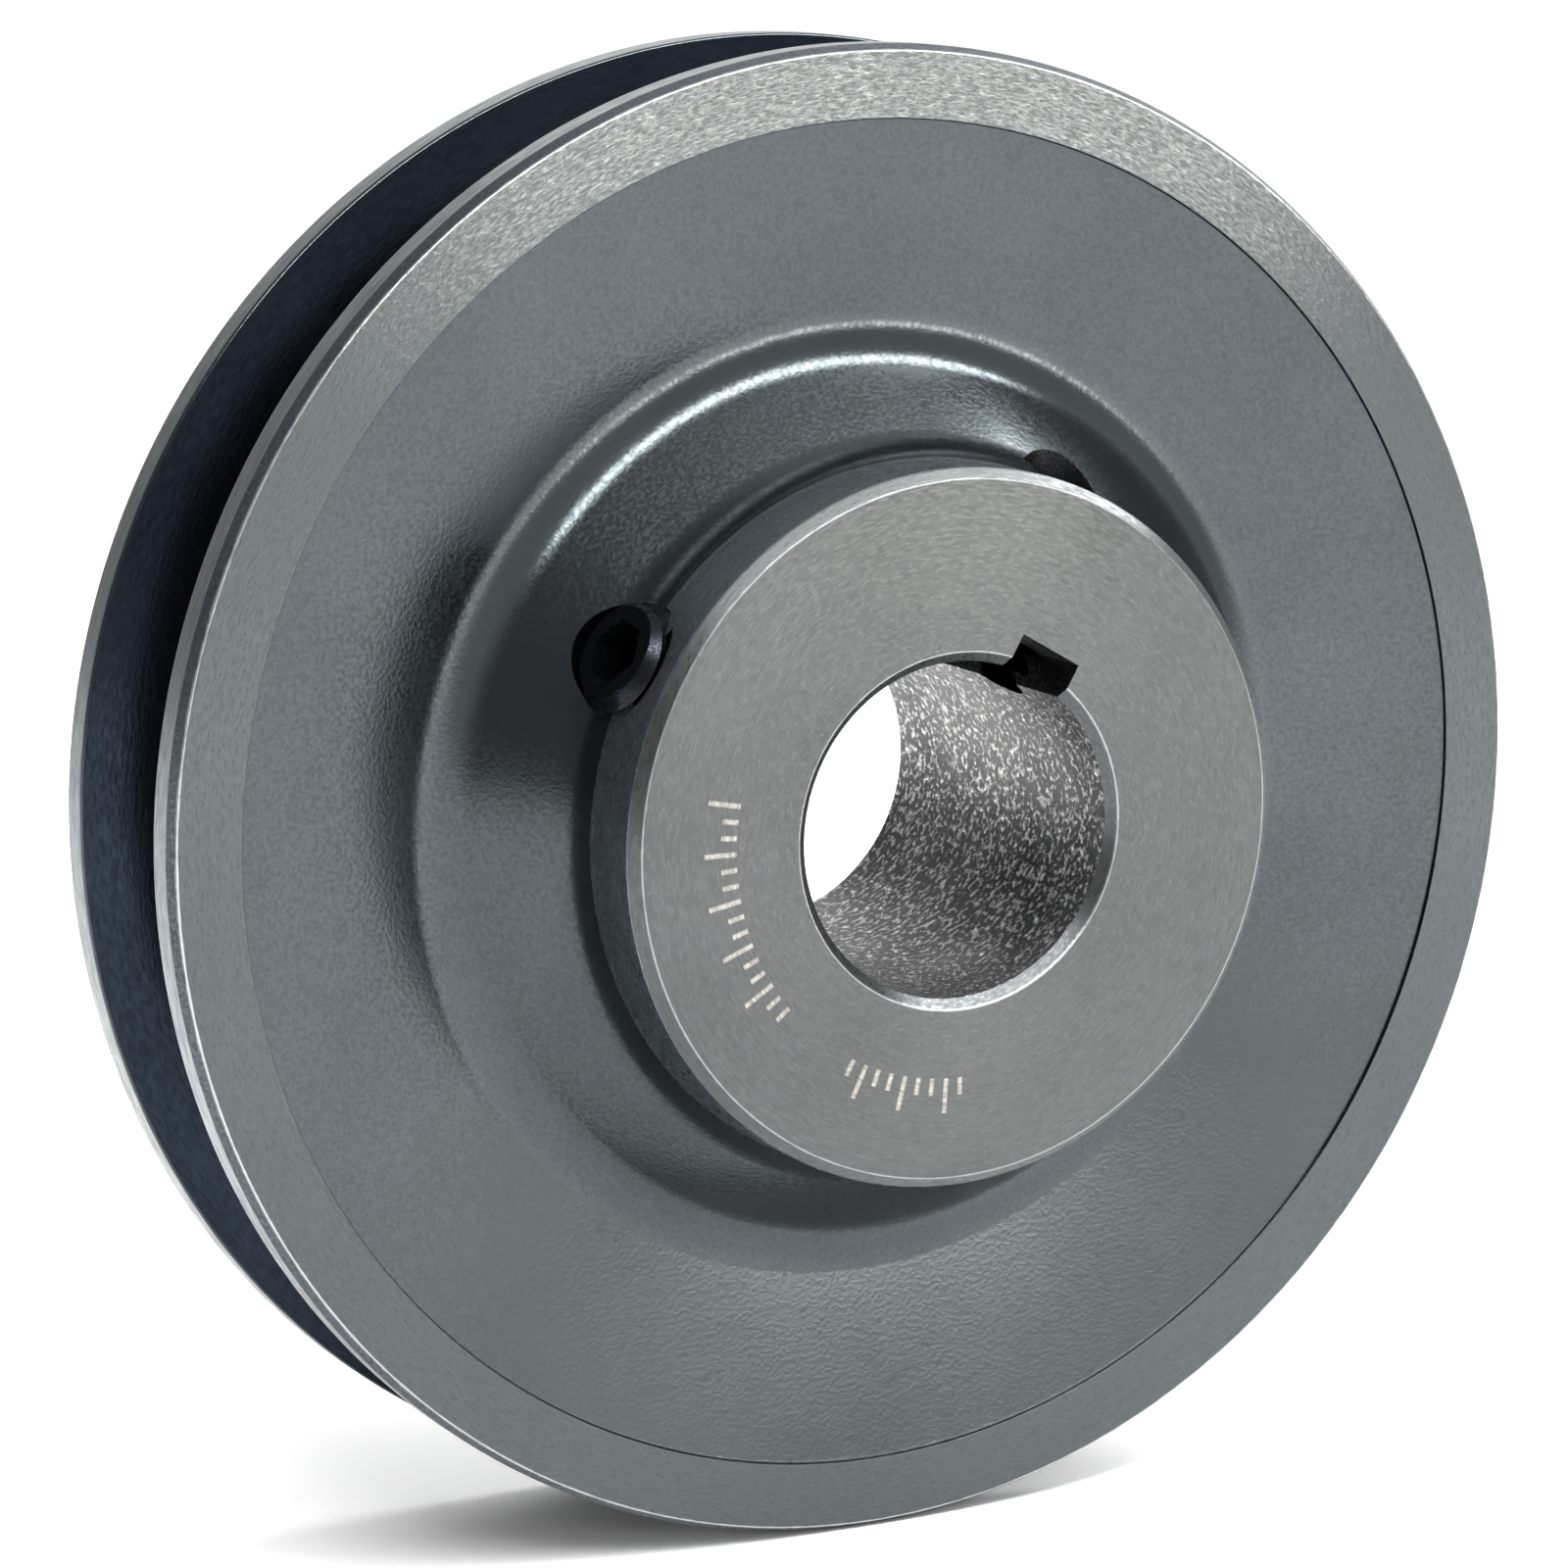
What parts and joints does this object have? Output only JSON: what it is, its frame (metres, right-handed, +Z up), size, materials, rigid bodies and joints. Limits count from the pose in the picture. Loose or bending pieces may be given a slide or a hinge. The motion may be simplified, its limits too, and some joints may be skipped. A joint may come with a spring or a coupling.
{
  "type": "v belt pulley",
  "caption": "Single-groove V-belt pulley with a projecting hub, key-seated finished bore and socket set screws.",
  "frame": {"origin": "on the bore's axis at the middle of the belt groove", "axes": "+Y along the bore's axis, from the hub side to the back; +Z up; the key seat points 60 degrees from +X towards +Z"},
  "size_m": [0.1004, 0.0305, 0.1004],
  "materials": {
    "cast_iron_grey_finish": "satin",
    "black_oxide_steel": "satin"
  },
  "bodies": {
    "sheave": {"sheave": "cast_iron_grey_finish"},
    "key_screw": {"key_set_screw": "black_oxide_steel"},
    "shaft_screw": {"shaft_set_screw": "black_oxide_steel"}
  },
  "joints": [
    {"name": "key_screw_travel", "type": "slide", "parent": "sheave", "child": "key_screw", "axis": [-0.4924, 0.1736, -0.8529], "range_m": [-0.00847, 0]},
    {"name": "shaft_screw_travel", "type": "slide", "parent": "sheave", "child": "shaft_screw", "axis": [0.8529, 0.1736, -0.4924], "range_m": [-0.00706, 0.00423]}
  ]
}
